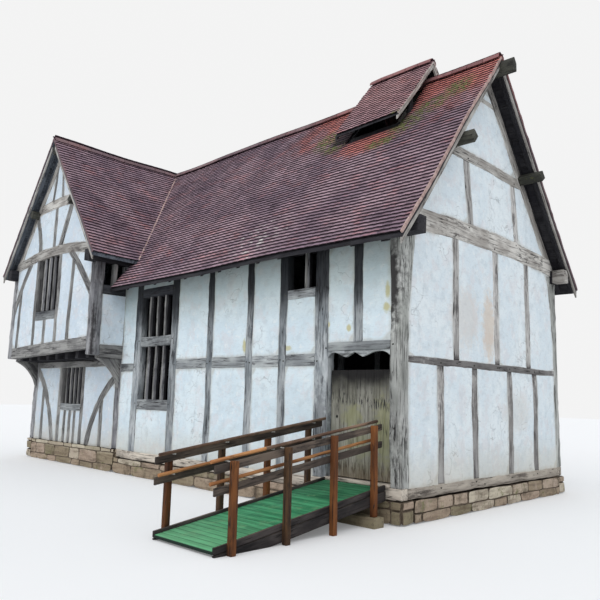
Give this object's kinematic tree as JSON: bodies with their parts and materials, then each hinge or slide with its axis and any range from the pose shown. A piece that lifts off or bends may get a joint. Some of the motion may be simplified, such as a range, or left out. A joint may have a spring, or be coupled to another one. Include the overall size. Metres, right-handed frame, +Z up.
{
  "type": "half timbered house",
  "caption": "Timber framed hall with a jettied cross wing, white panels, steep tiled roofs, a smoke louvre and a ramp up to a plank door.",
  "frame": {"origin": "the hall's right front corner, on the underside of the plinth at the lowest ground", "axes": "+X along the hall away from the wing, -Y out of the front wall, +Z up"},
  "size_m": [13.23, 9.4791, 8.6975],
  "materials": {
    "stone": "rough sandstone",
    "earth_floor": "worn flags",
    "grey_oak": "weathered, unpainted",
    "brown_oak": "weathered, unpainted",
    "limewash": "limewashed daub",
    "clay_tile": "plain clay tiles",
    "door_oak": "weathered boards",
    "iron": "forged",
    "ramp_deck": "grooved, stained green",
    "ramp_dark": "stained dark brown",
    "ramp_brown": "stained red brown",
    "ramp_pole": "weathered pole"
  },
  "bodies": {
    "house": {"long_plinth_walls": "stone", "end_plinth_walls": "stone", "ground_floor": "earth_floor", "sill_beams": "grey_oak", "corner_posts": "grey_oak", "wall_plates": "grey_oak", "purlins": "grey_oak", "tie_and_collar_beams": "brown_oak", "principal_rafters": "grey_oak", "gable_and_rear_rails": "brown_oak", "gable_studs": "brown_oak", "gable_panels": "limewash", "front_posts_and_studs": "grey_oak", "front_rails": "grey_oak", "front_panels": "limewash", "rear_studs": "grey_oak", "rear_panels": "limewash", "window_mullions": "grey_oak", "door_head_board": "grey_oak", "threshold": "grey_oak", "door_pins": "iron", "wing_floor_beams": "grey_oak", "wing_cross_beams": "grey_oak", "upper_floor": "brown_oak", "jetty_brackets": "grey_oak", "wing_front_studs": "grey_oak", "wing_braces": "grey_oak", "wing_front_panels": "limewash", "wing_side_and_rear_studs": "grey_oak", "wing_side_and_rear_panels": "limewash", "hall_roof_front": "clay_tile", "hall_roof_rear": "clay_tile", "wing_roof_left": "clay_tile", "wing_roof_right": "clay_tile", "barge_boards": "grey_oak", "common_rafters": "grey_oak", "louvre_roof": "clay_tile", "louvre_legs": "grey_oak", "ramp_deck": "ramp_deck", "ramp_side_boards": "ramp_dark", "ramp_bearers": "ramp_dark", "ramp_posts": "ramp_brown", "ramp_rails": "ramp_dark", "ramp_poles": "ramp_pole", "ramp_pole_brackets": "iron"},
    "door": {"door_boards": "door_oak", "door_ledges": "door_oak", "door_straps": "iron"}
  },
  "joints": [
    {"name": "door_hinge", "type": "hinge", "parent": "house", "child": "door", "pos_m": [-0.216, 0.163, 0.7], "axis": [0, 0, -1], "range_deg": [0, 90]}
  ]
}
